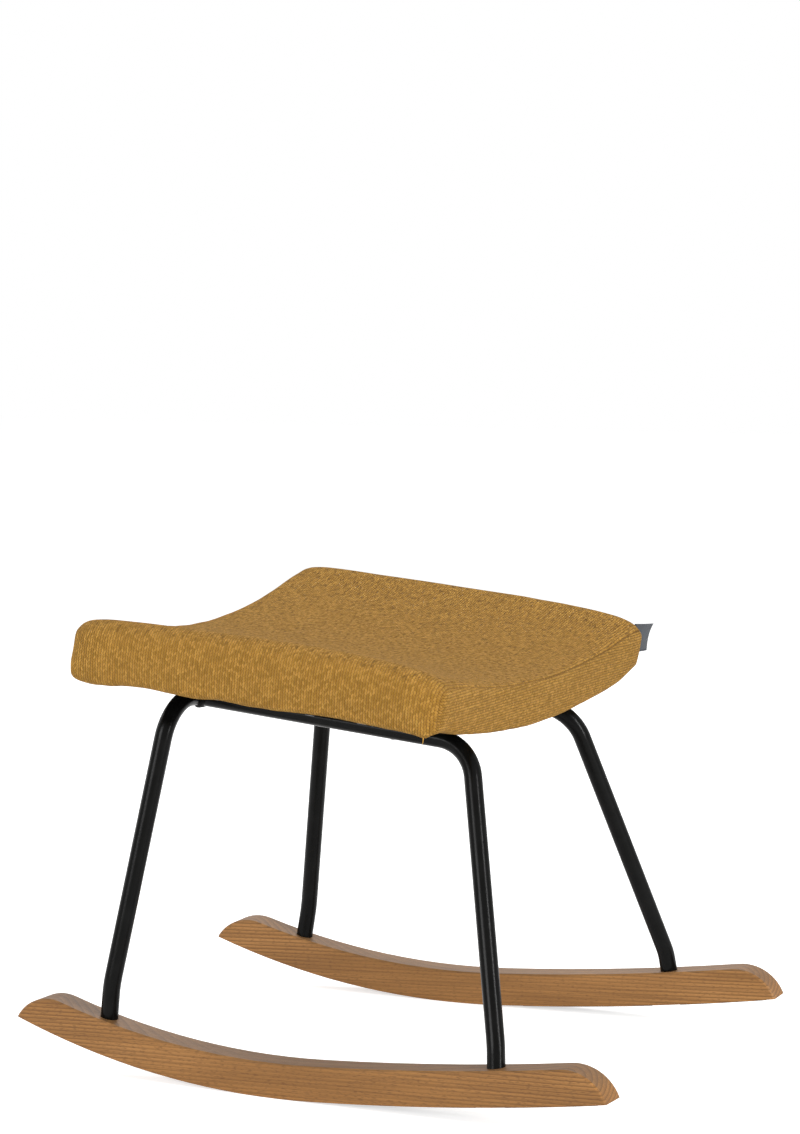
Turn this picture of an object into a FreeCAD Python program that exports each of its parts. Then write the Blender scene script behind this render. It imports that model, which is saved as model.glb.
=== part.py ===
import FreeCAD, Part
import math
import os

# Rocking footstool, in millimetres. X runs along the rockers with the short upturned end at -X,
# Y runs across them, Z is up. The origin is on the floor, in the middle of the whole stool.
V = FreeCAD.Vector

# Rockers: one solid oak board each, sawn to a tight front curve and a long flat rear curve.
rocker_span = 586.0
rocker_width = 29.0
rocker_height = 31.3
rocker_spacing = 393.4
toe_out = 2.0
front_curve_radius = 775.0
rear_curve_radius = 2825.0
lowest_station = -32.0
curve_change_station = 14.6
nose_radius = 41.0
rocker_arris = 1.5

# Glide strips: thin felt, glued under the rear half on both sides of the rear bolt.
strip_width = 20.0
strip_thickness = 1.2
long_strip_start = 37.0
strip_bolt_gap = 28.0
strip_tip_gap = 10.0

# Tubes: round steel, bent and welded, their lower ends set in blind holes in the rockers.
tube_diameter = 16.0
tube_wall = 1.5
leg_hole_depth = 14.0
leg_hole_clearance = 0.15
front_ankle_radius = 74.0
rear_ankle_radius = 60.0

# Front frame: two legs and the cross tube above them in one length, dipped to follow the seat.
# The insets say how far in from the seat's end and side each shoulder stands.
front_leg_station = -202.4
front_ankle_rise = 30.0
front_ankle_lean = 4.4
front_ankle_draw_in = -2.0
front_shoulder_end_inset = 59.6
front_shoulder_side_inset = 73.3
front_shoulder_height = 336.2
front_shoulder_radius = 38.0
front_cross_dip = 9.0
cross_dip_radius = 900.0

# Rear legs: each bends forward under the seat and becomes a side rail, welded to the front frame.
rear_leg_station = 183.8
rear_leg_inboard_shift = 2.0
rear_ankle_rise = 18.0
rear_ankle_lean = 1.8
rear_ankle_draw_in = 3.6
rear_shoulder_end_inset = 23.5
rear_shoulder_side_inset = 112.9
rear_shoulder_height = 307.8
rear_shoulder_radius = 41.7
rail_draw_in = 11.1

# Rear cross tube: a thinner tube between the side rails, hidden under the seat.
rear_cross_diameter = 12.0
rear_cross_setback = 34.0
rear_cross_dip = 5.0

# Weld beads round the tube joints.
weld_leg = 2.5

# Fixing plates: flat plates with rounded ends, welded across the rails to carry the seat.
plate_length = 46.0
plate_width = 20.0
plate_thickness = 3.0
front_plate_setback = 40.0
rear_plate_setback = 24.0
plate_outboard_end = 13.0
seat_screw_inset = 21.0

# Screws, nuts and washers.
seat_screw_diameter = 6.0
seat_screw_hole_clearance = 0.3
seat_screw_head_diameter = 12.0
seat_screw_head_height = 3.3
seat_screw_head_chamfer = 2.0
seat_screw_socket_diameter = 4.0
seat_screw_socket_depth = 2.0
seat_washer_diameter = 14.0
washer_thickness = 1.2
nut_flange_diameter = 19.0
nut_flange_thickness = 1.5
nut_barrel_diameter = 8.5
nut_barrel_length = 8.0
rocker_bolt_diameter = 6.0
rocker_bolt_hole_clearance = 0.25
rocker_bolt_head_diameter = 10.0
rocker_bolt_head_height = 6.0
rocker_bolt_socket = 5.0
rocker_washer_diameter = 12.0
counterbore_depth = 9.0
counterbore_clearance = 0.5
leg_plug_length = 20.0
bolt_reach_in_plug = 15.0
press_clearance = 0.02

# Seat: bent plywood board, foam pad and sewn cover, all in a trough that runs along X.
seat_length = 357.0
seat_width = 450.0
seat_centre_station = -35.0
trough_radius = 1170.0
board_thickness = 10.0
board_end_gap = 11.0
board_side_gap = 14.0
cover_thickness = 1.8
middle_thickness = 44.2
front_trough_depth = 33.0
rear_trough_depth = 23.5
rear_fall_power = 4
seat_crown = 1.5
side_edge_radius = 15.0
lower_edge_radius = 10.0
side_undercut = 3.0
end_undercut = 6.0
hem_width = 24.0
dust_cover_thickness = 0.8
dust_cover_overlap = 9.0
dust_cover_step = 2.5
plate_bedding = 0.25

# Side tag: a short folded ribbon, sewn into the seam of the right rear corner.
tag_height = 24.0
tag_reach = 9.0
tag_thickness = 1.2
tag_turn = 12.0
tag_seam_depth = 6.0
tag_below_top = 5.0


def mirrored(shape):
    """The same piece on the other side of the stool."""
    return shape.mirror(V(0, 0, 0), V(0, 1, 0))


def both_sides(shapes):
    """Loose pieces on the right, with their copies on the left, in one group."""
    return Part.makeCompound(list(shapes) + [mirrored(shape) for shape in shapes])


def unit(vector):
    return vector * (1.0 / vector.Length)


def arc(start, through, end):
    return Part.Arc(start, through, end).toShape()


def line(start, end):
    return Part.LineSegment(start, end).toShape()


def face(edges):
    return Part.Face(Part.Wire(edges))


def rod(start, direction, radius, length):
    return Part.makeCylinder(radius, length, start, direction)


def bent_path(points, radii):
    """Straight runs through the points, with a tangent arc of the given radius at each inner one."""
    edges = []
    run_start = points[0]
    for before, corner, after, radius in zip(points, points[1:], points[2:], radii):
        back = unit(before - corner)
        ahead = unit(after - corner)
        half_angle = back.getAngle(ahead) / 2.0
        tangent = radius / math.tan(half_angle)
        middle = unit(back + ahead)
        arc_start = corner + back * tangent
        arc_end = corner + ahead * tangent
        arc_middle = corner + middle * (radius / math.sin(half_angle) - radius)
        edges.append(line(run_start, arc_start))
        edges.append(arc(arc_start, arc_middle, arc_end))
        run_start = arc_end
    edges.append(line(run_start, points[-1]))
    return Part.Wire(edges)


def solid_tube(path, radius):
    """A round bar swept along a bent path."""
    first_edge = path.Edges[0]
    start = first_edge.valueAt(first_edge.FirstParameter)
    heading = first_edge.tangentAt(first_edge.FirstParameter)
    ring = Part.Wire([Part.makeCircle(radius, start, heading)])
    return path.makePipeShell([ring], True, False)


def hollow_tube(path):
    return solid_tube(path, tube_radius).cut(solid_tube(path, tube_radius - tube_wall))


tube_radius = tube_diameter / 2.0
tube_bore_radius = tube_radius - tube_wall
half_length = seat_length / 2.0
half_width = seat_width / 2.0
opening_half_length = half_length - end_undercut - hem_width
opening_half_width = half_width - side_undercut - hem_width

# The rocker's outline lies in the XZ plane: both curves meet in one tangent at the change station.
front_centre = V(lowest_station, 0, front_curve_radius)
change_drop = math.sqrt(front_curve_radius**2 - (curve_change_station - lowest_station)**2)
curve_change = V(curve_change_station, 0, front_curve_radius - change_drop)
change_normal = unit(curve_change - front_centre)
rear_centre = curve_change - change_normal * rear_curve_radius


def curve_point(x, height):
    """A point of the rocker's outline at station x, at this height above its running edge."""
    for centre, radius in ((front_centre, front_curve_radius), (rear_centre, rear_curve_radius)):
        reach = radius - height
        point = V(x, 0, centre.z - math.sqrt(reach**2 - (x - centre.x)**2))
        change = centre + change_normal * reach
        if (x <= change.x) == (centre is front_centre):
            return point


def nose(tip, centre, top_radius, outward):
    """The nose's circle passes through the tip and is tangent to the top curve."""
    far = top_radius + nose_radius
    span = tip - centre
    along = (far**2 - nose_radius**2 + span.Length**2) / (2.0 * span.Length)
    aside = math.sqrt(far**2 - along**2)
    heading = unit(span)
    inward = V(-outward * heading.z, 0, outward * heading.x)
    if inward.x * outward > 0:
        inward = inward * -1.0
    nose_centre = centre + heading * along + inward * aside
    tangent_point = centre + unit(nose_centre - centre) * top_radius
    middle = nose_centre + unit(unit(tip - nose_centre) + unit(tangent_point - nose_centre)) * nose_radius
    return tangent_point, middle


def on_circle(first, second, centre):
    """The middle of the short arc between two points of a circle."""
    radius = (first - centre).Length
    return centre + unit((first + second) * 0.5 - centre) * radius


def place_right(shape):
    """From the rocker's own plane to its toed-out place on the right."""
    placed = shape.copy()
    placed.rotate(V(0, 0, 0), V(0, 0, 1), toe_out)
    placed.translate(V(0, rocker_spacing / 2.0, 0))
    return placed


def right_point(point):
    turned = FreeCAD.Rotation(V(0, 0, 1), toe_out).multVec(point)
    return turned + V(0, rocker_spacing / 2.0, 0)


def rocker_board():
    front_tip = curve_point(-rocker_span / 2.0, 0)
    rear_tip = curve_point(rocker_span / 2.0, 0)
    front_top_radius = front_curve_radius - rocker_height
    rear_top_radius = rear_curve_radius - rocker_height
    front_crest, front_nose = nose(front_tip, front_centre, front_top_radius, -1)
    rear_crest, rear_nose = nose(rear_tip, rear_centre, rear_top_radius, 1)
    top_change = front_centre + change_normal * front_top_radius
    outline = [
        arc(front_tip, on_circle(front_tip, curve_change, front_centre), curve_change),
        arc(curve_change, on_circle(curve_change, rear_tip, rear_centre), rear_tip),
        arc(rear_tip, rear_nose, rear_crest),
        arc(rear_crest, on_circle(rear_crest, top_change, rear_centre), top_change),
        arc(top_change, on_circle(top_change, front_crest, front_centre), front_crest),
        arc(front_crest, front_nose, front_tip),
    ]
    board = face(outline).extrude(V(0, rocker_width, 0))
    board.translate(V(0, -rocker_width / 2.0, 0))
    upper = []
    for edge in board.Edges:
        middle = edge.valueAt((edge.FirstParameter + edge.LastParameter) / 2.0)
        along_board = abs(edge.valueAt(edge.LastParameter).x - edge.valueAt(edge.FirstParameter).x) > 1.0
        if along_board and middle.z > curve_point(middle.x, rocker_height / 2.0).z:
            upper.append(edge)
    return board.makeChamfer(rocker_arris, upper)


def foot_frame(station, inboard_shift, lean, draw_in, rise):
    """Where a leg's centre line meets the rocker's top, and the point of its lower bend."""
    foot = right_point(curve_point(station, rocker_height)) - V(0, inboard_shift, 0)
    return foot, foot + V(lean, -draw_in, rise)


front_foot, front_ankle = foot_frame(front_leg_station, 0.0, front_ankle_lean, front_ankle_draw_in,
                                     front_ankle_rise)
rear_foot, rear_ankle = foot_frame(rear_leg_station, rear_leg_inboard_shift, -rear_ankle_lean,
                                   rear_ankle_draw_in, rear_ankle_rise)
front_shoulder = V(seat_centre_station - half_length + front_shoulder_end_inset,
                   half_width - front_shoulder_side_inset, front_shoulder_height)
rear_shoulder = V(seat_centre_station + half_length - rear_shoulder_end_inset,
                  half_width - rear_shoulder_side_inset, rear_shoulder_height)
cross_middle = V(front_shoulder.x, 0, front_shoulder_height - front_cross_dip)


def below_foot(foot, ankle, depth):
    return foot - unit(ankle - foot) * depth


def across(point):
    return V(point.x, -point.y, point.z)


front_end = below_foot(front_foot, front_ankle, leg_hole_depth)
rear_end = below_foot(rear_foot, rear_ankle, leg_hole_depth)
half_front_path = [front_end, front_ankle, front_shoulder]
front_path = bent_path(
    half_front_path + [cross_middle] + [across(point) for point in reversed(half_front_path)],
    [front_ankle_radius, front_shoulder_radius, cross_dip_radius, front_shoulder_radius,
     front_ankle_radius])

# Each rail runs to the cross tube's centre line and is coped to it.
rail_front_half_width = rear_shoulder.y - rail_draw_in
cross_share = rail_front_half_width / front_shoulder.y
rail_front = cross_middle + (front_shoulder - cross_middle) * cross_share
rear_path = bent_path([rear_end, rear_ankle, rear_shoulder, rail_front],
                      [rear_ankle_radius, rear_shoulder_radius])
rail_heading = unit(rail_front - rear_shoulder)


def rail_point(setback):
    """A point of the rail's centre line, this far forward of the rear shoulder."""
    return rear_shoulder + rail_heading * setback


rail_length = (rail_front - rear_shoulder).Length
rear_cross_end = rail_point(rear_shoulder_radius + rear_cross_setback)
rear_cross_middle = V(rear_cross_end.x, 0, rear_cross_end.z - rear_cross_dip)
rear_cross_path = bent_path([rear_cross_end, rear_cross_middle, across(rear_cross_end)], [cross_dip_radius])


def weld(first_start, first_heading, first_radius, second_start, second_heading, second_radius):
    """A bead in the corner where the first tube's end meets the second tube's side."""
    length = second_radius + 2.0 * weld_leg
    collar = rod(first_start, first_heading, first_radius + weld_leg, length)
    sleeve_start = second_start - second_heading * (first_radius + 2.0 * weld_leg)
    sleeve_length = 2.0 * (first_radius + 2.0 * weld_leg)
    sleeve = rod(sleeve_start, second_heading, second_radius + weld_leg, sleeve_length)
    bead = collar.common(sleeve)
    return bead.cut(rod(first_start, first_heading, first_radius, length)).cut(
        rod(sleeve_start, second_heading, second_radius, sleeve_length))


# The seat is drawn level in its own frame, in which Z = 0 is the plane of the rails' top lines,
# then tipped to the rails' slope.
rail_slope = math.atan2(rail_front.z - rear_shoulder.z, rear_shoulder.x - rail_front.x)
seat_height = (rear_shoulder.z + (rear_shoulder.x - seat_centre_station) * math.tan(rail_slope)
               + tube_radius / math.cos(rail_slope))
seat_origin = V(seat_centre_station, 0, seat_height)


def place_seat(shape):
    placed = shape.copy()
    placed.rotate(V(0, 0, 0), V(0, 1, 0), math.degrees(rail_slope))
    placed.translate(seat_origin)
    return placed


def seat_local(point):
    """A point of the stool in the seat's own frame."""
    return FreeCAD.Rotation(V(0, 1, 0), -math.degrees(rail_slope)).multVec(point - seat_origin)


rail_half_width = (rear_shoulder.y + rail_front_half_width) / 2.0


def trough_rise(y):
    """How far the board's underside climbs between the middle and this distance aside."""
    return trough_radius - math.sqrt(trough_radius**2 - y**2)


board_base = plate_thickness + plate_bedding + dust_cover_thickness - trough_rise(rail_half_width)
board_axis_height = board_base + trough_radius
overrun = 12.0


def layer(low, high, half_x=half_length + overrun, half_y=half_width + overrun):
    """A curved sheet between two heights above the board's underside."""
    corners = []
    for offset in (low, high):
        radius = trough_radius - offset
        edge_rise = trough_radius - math.sqrt(radius**2 - half_y**2)
        corners.append((V(-half_x, -half_y, board_base + edge_rise),
                        V(-half_x, 0, board_base + offset),
                        V(-half_x, half_y, board_base + edge_rise)))
    lower, upper = corners
    edges = [
        arc(*lower),
        line(lower[2], upper[2]),
        arc(upper[2], upper[1], upper[0]),
        line(upper[0], lower[0]),
    ]
    return face(edges).extrude(V(2.0 * half_x, 0, 0))


def seat_section(x, inset):
    """The seat's outline across the trough, drawn in all round by the inset."""
    rear_share = (1.0 + x / half_length) / 2.0
    depth = front_trough_depth + (rear_trough_depth - front_trough_depth) * rear_share**rear_fall_power
    crown = seat_crown * (1.0 - (x / half_length)**2)
    top_radius = (half_width**2 + depth**2) / (2.0 * depth)
    top_axis = V(x, 0, board_base - cover_thickness + middle_thickness + crown + top_radius)
    low_axis = V(x, 0, board_axis_height)
    low_radius = trough_radius + cover_thickness

    # One circle rounds the top edge and one the lower edge; a line joins them down the side.
    upper_y = half_width - side_edge_radius
    upper = top_axis + V(0, upper_y, -math.sqrt((top_radius + side_edge_radius)**2 - upper_y**2))
    lower_y = half_width - side_undercut - lower_edge_radius
    lower = low_axis + V(0, lower_y, -math.sqrt((low_radius - lower_edge_radius)**2 - lower_y**2))
    span = upper - lower
    heading = unit(span)
    outward = V(0, heading.z, -heading.y)
    turn = (lower_edge_radius - side_edge_radius) / span.Length
    normal = heading * turn + outward * math.sqrt(1.0 - turn**2)

    upper_radius = side_edge_radius - inset
    corner_radius = lower_edge_radius - inset
    right = [
        upper + unit(top_axis - upper) * upper_radius,
        on_circle(upper + unit(top_axis - upper) * upper_radius, upper + normal * upper_radius, upper),
        upper + normal * upper_radius,
        lower + normal * corner_radius,
        on_circle(lower + normal * corner_radius, lower + unit(lower - low_axis) * corner_radius, lower),
        lower + unit(lower - low_axis) * corner_radius,
    ]
    left = [across(point) for point in right]
    return Part.Wire([
        arc(left[0], top_axis - V(0, 0, top_radius + inset), right[0]),
        arc(right[0], right[1], right[2]),
        line(right[2], right[3]),
        arc(right[3], right[4], right[5]),
        arc(right[5], low_axis - V(0, 0, low_radius - inset), left[5]),
        arc(left[5], left[4], left[3]),
        line(left[3], left[2]),
        arc(left[2], left[1], left[0]),
    ])


def between_ends(inset):
    """Everything between the seat's two end faces, which swell a little at half height."""
    top = board_base + middle_thickness + front_trough_depth + overrun
    low = board_base - 2.0 * overrun
    full = board_base + (middle_thickness + rear_trough_depth) / 2.0
    y = -half_width - 2.0 * overrun
    foot_x = half_length - end_undercut - inset
    full_x = half_length - inset
    edges = [
        arc(V(foot_x, y, low), V(full_x, y, full), V(foot_x, y, top)),
        line(V(foot_x, y, top), V(-foot_x, y, top)),
        arc(V(-foot_x, y, top), V(-full_x, y, full), V(-foot_x, y, low)),
        line(V(-foot_x, y, low), V(foot_x, y, low)),
    ]
    return face(edges).extrude(V(0, -2.0 * y, 0))


def seat_block(inset):
    """The seat's whole outer form, made smaller all round by the inset."""
    stations = [share * (half_length + overrun) for share in (-1.0, -0.5, 0.0, 0.5, 1.0)]
    block = Part.makeLoft([seat_section(x, inset) for x in stations], True, True)
    return block.common(between_ends(inset))


def slab(half_x, half_y, low, high):
    """A plain box, used to trim sheets."""
    return Part.makeBox(2.0 * half_x, 2.0 * half_y, high - low, V(-half_x, -half_y, low))


os.makedirs("parts", exist_ok=True)
parts = {}

# Rockers with their leg holes, bolt holes and counterbores.
right_rocker = place_right(rocker_board())
leg_plugs = []
rocker_bolts = []
rocker_washers = []
for foot, ankle in ((front_foot, front_ankle), (rear_foot, rear_ankle)):
    up = unit(ankle - foot)
    tube_end = foot - up * leg_hole_depth
    hole = rod(tube_end, up, tube_radius + leg_hole_clearance, leg_hole_depth * 3.0)
    bolt_hole = rod(foot - up * rocker_height * 1.5, up,
                    rocker_bolt_diameter / 2.0 + rocker_bolt_hole_clearance, rocker_height * 1.5)
    seat_of_head = foot - up * (rocker_height - counterbore_depth)
    counterbore = rod(foot - up * rocker_height * 1.5, up,
                      rocker_washer_diameter / 2.0 + counterbore_clearance,
                      rocker_height * 0.5 + counterbore_depth)
    right_rocker = right_rocker.cut(hole).cut(bolt_hole).cut(counterbore)

    plug = rod(tube_end, up, tube_bore_radius - press_clearance, leg_plug_length)
    thread = rod(tube_end - up, up, rocker_bolt_diameter / 2.0 + press_clearance, leg_plug_length + 2.0)
    leg_plugs.append(plug.cut(thread))

    washer = rod(seat_of_head - up * washer_thickness, up, rocker_washer_diameter / 2.0, washer_thickness)
    washer_hole = rod(seat_of_head - up * 2.0 * washer_thickness, up,
                      rocker_bolt_diameter / 2.0 + rocker_bolt_hole_clearance, 4.0 * washer_thickness)
    rocker_washers.append(washer.cut(washer_hole))

    under_head = seat_of_head - up * washer_thickness
    shank_length = (tube_end - under_head).Length + bolt_reach_in_plug
    shank = rod(under_head, up, rocker_bolt_diameter / 2.0, shank_length)
    head_start = under_head - up * rocker_bolt_head_height
    head = rod(head_start, up, rocker_bolt_head_diameter / 2.0, rocker_bolt_head_height)
    socket_ring = [V(math.cos(math.radians(60 * k)), math.sin(math.radians(60 * k)), 0)
                   * (rocker_bolt_socket / math.sqrt(3.0)) for k in range(7)]
    socket = Part.Face(Part.makePolygon(socket_ring)).extrude(V(0, 0, rocker_bolt_head_height / 2.0))
    socket.Placement = FreeCAD.Placement(head_start, FreeCAD.Rotation(V(0, 0, 1), up))
    rocker_bolts.append(head.fuse(shank).cut(socket).removeSplitter())

parts["right_rocker"] = right_rocker
parts["left_rocker"] = mirrored(right_rocker)
parts["leg_plugs"] = both_sides(leg_plugs)
parts["rocker_bolts"] = both_sides(rocker_bolts)
parts["rocker_washers"] = both_sides(rocker_washers)


# Glide strips follow the running edge.
def glide_strip(start_x, end_x):
    upper_start = curve_point(start_x, 0)
    upper_end = curve_point(end_x, 0)
    lower_start = curve_point(start_x, -strip_thickness)
    lower_end = curve_point(end_x, -strip_thickness)
    outline = [
        arc(upper_start, on_circle(upper_start, upper_end, rear_centre), upper_end),
        line(upper_end, lower_end),
        arc(lower_end, on_circle(lower_start, lower_end, rear_centre), lower_start),
        line(lower_start, upper_start),
    ]
    strip = face(outline).extrude(V(0, strip_width, 0))
    strip.translate(V(0, -strip_width / 2.0, 0))
    return place_right(strip)


strips = [glide_strip(long_strip_start, rear_leg_station - strip_bolt_gap / 2.0),
          glide_strip(rear_leg_station + strip_bolt_gap / 2.0, rocker_span / 2.0 - strip_tip_gap)]
right_glide_strips = Part.makeCompound(strips)
parts["right_glide_strips"] = right_glide_strips
parts["left_glide_strips"] = mirrored(right_glide_strips)

# Frame tubes.
front_frame_solid = solid_tube(front_path, tube_radius)
rear_leg_solid = solid_tube(rear_path, tube_radius)
front_frame = front_frame_solid.cut(solid_tube(front_path, tube_bore_radius))
right_rear_leg = hollow_tube(rear_path).cut(front_frame_solid)
right_rear_leg = max(right_rear_leg.Solids, key=lambda item: item.Volume)
rear_cross_radius = rear_cross_diameter / 2.0
rear_cross = solid_tube(rear_cross_path, rear_cross_radius).cut(
    solid_tube(rear_cross_path, rear_cross_radius - tube_wall))
rear_cross = rear_cross.cut(rear_leg_solid).cut(mirrored(rear_leg_solid))
rear_cross = max(rear_cross.Solids, key=lambda item: item.Volume)
parts["front_leg_frame"] = front_frame
parts["right_rear_leg"] = right_rear_leg
parts["left_rear_leg"] = mirrored(right_rear_leg)
parts["rear_cross_tube"] = rear_cross

# Weld beads at the rails' front ends and at the rear cross tube's ends.
cross_heading = unit(front_shoulder - cross_middle)
rear_cross_heading = unit(rear_cross_middle - rear_cross_end)
beads = [
    weld(rail_front, rail_heading * -1.0, tube_radius, rail_front, cross_heading, tube_radius),
    weld(rear_cross_end, rear_cross_heading, rear_cross_radius, rear_cross_end, rail_heading, tube_radius),
]
parts["frame_welds"] = both_sides(beads)


# Fixing plates, with the screws, washers and nuts that go through each.
def leaned(shape, pivot, angle):
    turned = shape.copy()
    turned.rotate(pivot, V(1, 0, 0), math.degrees(angle))
    return turned


plate_stations = [rear_plate_setback, rail_length - front_plate_setback]
fixing_plates = []
seat_screws = []
seat_washers = []
seat_nuts = []
screw_holes = []
nut_pockets = []
for setback in plate_stations:
    rail_local = seat_local(rail_point(setback))
    outer_y = rail_local.y + plate_outboard_end - plate_width / 2.0
    inner_y = outer_y - (plate_length - plate_width)
    slope = trough_rise(outer_y) - trough_rise(inner_y)
    lean = math.atan2(slope, outer_y - inner_y)
    # The plate lies flat on the rail's top and leans with the board above it.
    blank = Part.makeBox(plate_width, outer_y - inner_y, plate_thickness,
                         V(rail_local.x - plate_width / 2.0, inner_y, 0))
    for end_y in (inner_y, outer_y):
        blank = blank.fuse(rod(V(rail_local.x, end_y, 0), V(0, 0, 1), plate_width / 2.0, plate_thickness))
    screw_y = rail_local.y - seat_screw_inset
    hole_radius = seat_screw_diameter / 2.0 + seat_screw_hole_clearance
    blank = blank.removeSplitter().cut(rod(V(rail_local.x, screw_y, -1), V(0, 0, 1), hole_radius,
                                           plate_thickness + 2.0))
    pivot = V(rail_local.x, rail_local.y, 0)
    plate = leaned(blank, pivot, lean)
    fixing_plates.append(place_seat(plate).cut(rear_leg_solid))
    axis_foot = V(rail_local.x, screw_y, 0)
    up = V(0, 0, 1)
    washer = rod(axis_foot - up * washer_thickness, up, seat_washer_diameter / 2.0, washer_thickness)
    washer = washer.cut(rod(axis_foot - up * 2.0, up, hole_radius, 4.0))
    head_foot = axis_foot - up * (washer_thickness + seat_screw_head_height)
    dome_radius = seat_screw_head_diameter / 2.0
    head = rod(head_foot, up, dome_radius, seat_screw_head_height)
    head_rim = [edge for edge in head.Edges if edge.Closed and edge.CenterOfMass.z < head_foot.z + 0.01]
    head = head.makeChamfer(seat_screw_head_chamfer, head_rim)
    nut_top = plate_thickness + plate_bedding + dust_cover_thickness + board_thickness
    shank = rod(axis_foot - up * washer_thickness, up, seat_screw_diameter / 2.0, washer_thickness + nut_top)
    socket = rod(head_foot - up, up, seat_screw_socket_diameter / 2.0, seat_screw_socket_depth + 1.0)
    screw = head.fuse(shank).cut(socket).removeSplitter()
    flange = rod(axis_foot + up * nut_top, up, nut_flange_diameter / 2.0, nut_flange_thickness)
    barrel = rod(axis_foot + up * (nut_top - nut_barrel_length), up, nut_barrel_diameter / 2.0,
                 nut_barrel_length)
    thread = rod(axis_foot, up, seat_screw_diameter / 2.0 + press_clearance, 3.0 * nut_top)
    nut = flange.fuse(barrel).cut(thread).removeSplitter()
    board_hole = rod(axis_foot + up * plate_thickness, up, nut_barrel_diameter / 2.0 + press_clearance,
                     nut_top - plate_thickness)
    pocket = rod(axis_foot + up * (nut_top - nut_flange_thickness), up,
                 nut_flange_diameter / 2.0 + press_clearance, 2.0 * nut_flange_thickness)
    seat_washers.append(place_seat(leaned(washer, pivot, lean)))
    seat_screws.append(place_seat(leaned(screw, pivot, lean)))
    seat_nuts.append(place_seat(leaned(nut, pivot, lean)))
    screw_holes.append(leaned(board_hole, pivot, lean))
    nut_pockets.append(leaned(pocket, pivot, lean))
parts["fixing_plates"] = both_sides(fixing_plates)
parts["seat_screws"] = both_sides(seat_screws)
parts["seat_washers"] = both_sides(seat_washers)
parts["seat_nuts"] = both_sides(seat_nuts)

# Board and foam fill the cover; the board is the curved sheet at the bottom, a little smaller than
# the seat all round, and the foam closes round its edge.
inner = seat_block(cover_thickness)
outer = seat_block(0.0)
all_holes = Part.makeCompound(screw_holes + [mirrored(hole) for hole in screw_holes])
all_pockets = Part.makeCompound(nut_pockets + [mirrored(pocket) for pocket in nut_pockets])
board_half_length = half_length - board_end_gap
board_half_width = half_width - board_side_gap
board = layer(0, board_thickness, board_half_length, board_half_width)
foam = inner.cut(layer(-board_thickness, board_thickness, board_half_length, board_half_width))
parts["seat_board"] = place_seat(board.cut(all_holes))
parts["foam_pad"] = place_seat(foam.cut(all_pockets))

# Cover: one panel wraps over the top and both long sides, and a band closes each end.
# Their hems turn in under the board and meet at the corners.
deep_below = 2.0 * overrun
opening = slab(opening_half_length, opening_half_width, board_base - deep_below,
               board_base + trough_rise(opening_half_width) + cover_thickness)
shell = outer.cut(inner).cut(opening)


def end_hem(side):
    """The region of one end band's hem, cut off at the lines that halve the corners."""
    corners = []
    for reach, turn in ((overrun, -1), (overrun, 1), (-2.0 * hem_width, 1), (-2.0 * hem_width, -1)):
        corners.append(V(side * (half_length + reach), turn * (half_width + reach), board_base - deep_below))
    height = deep_below + board_thickness + trough_rise(half_width)
    wedge = Part.Face(Part.makePolygon(corners + [corners[0]])).extrude(V(0, 0, height))
    return wedge.common(layer(-deep_below, 0))


wrap = shell.common(between_ends(cover_thickness)).cut(end_hem(-1)).cut(end_hem(1))
ends = shell.cut(wrap).Solids
parts["cover_top_panel"] = place_seat(wrap)
parts["cover_front_band"] = place_seat(min(ends, key=lambda item: item.CenterOfMass.x))
parts["cover_rear_band"] = place_seat(max(ends, key=lambda item: item.CenterOfMass.x))

# Dust cover: lies on the board inside the hem and steps down over the hem's raw edge.
low_level = -cover_thickness - dust_cover_thickness
inside_x = opening_half_length - dust_cover_step
inside_y = opening_half_width - dust_cover_step


def trim(grow):
    return slab(inside_x + grow, inside_y + grow, board_base - deep_below,
                board_base + deep_below + trough_rise(half_width))


middle_sheet = layer(-dust_cover_thickness, 0).common(trim(0))
step_wall = layer(low_level, 0).common(trim(0)).cut(trim(-dust_cover_thickness))
rim_sheet = layer(low_level, -cover_thickness).common(trim(dust_cover_step + dust_cover_overlap)).cut(trim(0))
dust_cover = middle_sheet.fuse(step_wall).fuse(rim_sheet).cut(all_holes).removeSplitter()
parts["dust_cover"] = place_seat(dust_cover)

# Side tag, upright in the corner seam and just below the top edge.
tag_top = board_base + middle_thickness + rear_trough_depth - tag_below_top
tag = Part.makeBox(tag_reach + tag_seam_depth, tag_thickness, tag_height,
                   V(0, -tag_thickness / 2.0, tag_top - tag_height))
tag.rotate(V(0, 0, 0), V(0, 0, 1), tag_turn)
tag.translate(V(half_length - tag_seam_depth, half_width - tag_seam_depth, 0))
parts["side_tag"] = place_seat(max(tag.cut(outer).Solids, key=lambda item: item.BoundBox.XMax))

for name, shape in parts.items():
    shape.exportStep("parts/" + name + ".step")
    print(name, len(shape.Solids), "solids", round(shape.Volume / 1000.0, 2), "ml", shape.isValid())
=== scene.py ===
import math
import random

import bmesh
import bpy
from mathutils import Matrix, Vector, noise


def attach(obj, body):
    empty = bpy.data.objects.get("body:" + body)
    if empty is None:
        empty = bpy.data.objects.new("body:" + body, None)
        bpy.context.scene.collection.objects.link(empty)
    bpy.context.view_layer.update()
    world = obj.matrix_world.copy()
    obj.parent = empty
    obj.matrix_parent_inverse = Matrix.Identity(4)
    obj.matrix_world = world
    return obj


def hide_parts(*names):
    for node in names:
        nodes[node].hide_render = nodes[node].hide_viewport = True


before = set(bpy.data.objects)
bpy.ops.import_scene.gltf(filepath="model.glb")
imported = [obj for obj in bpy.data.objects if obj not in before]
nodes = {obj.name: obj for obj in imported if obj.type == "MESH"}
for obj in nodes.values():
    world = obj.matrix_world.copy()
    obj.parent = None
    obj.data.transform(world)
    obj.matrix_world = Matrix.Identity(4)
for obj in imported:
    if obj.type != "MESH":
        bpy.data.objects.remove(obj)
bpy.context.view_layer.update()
scene = bpy.context.scene
scene.view_settings.view_transform = "Standard"

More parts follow.
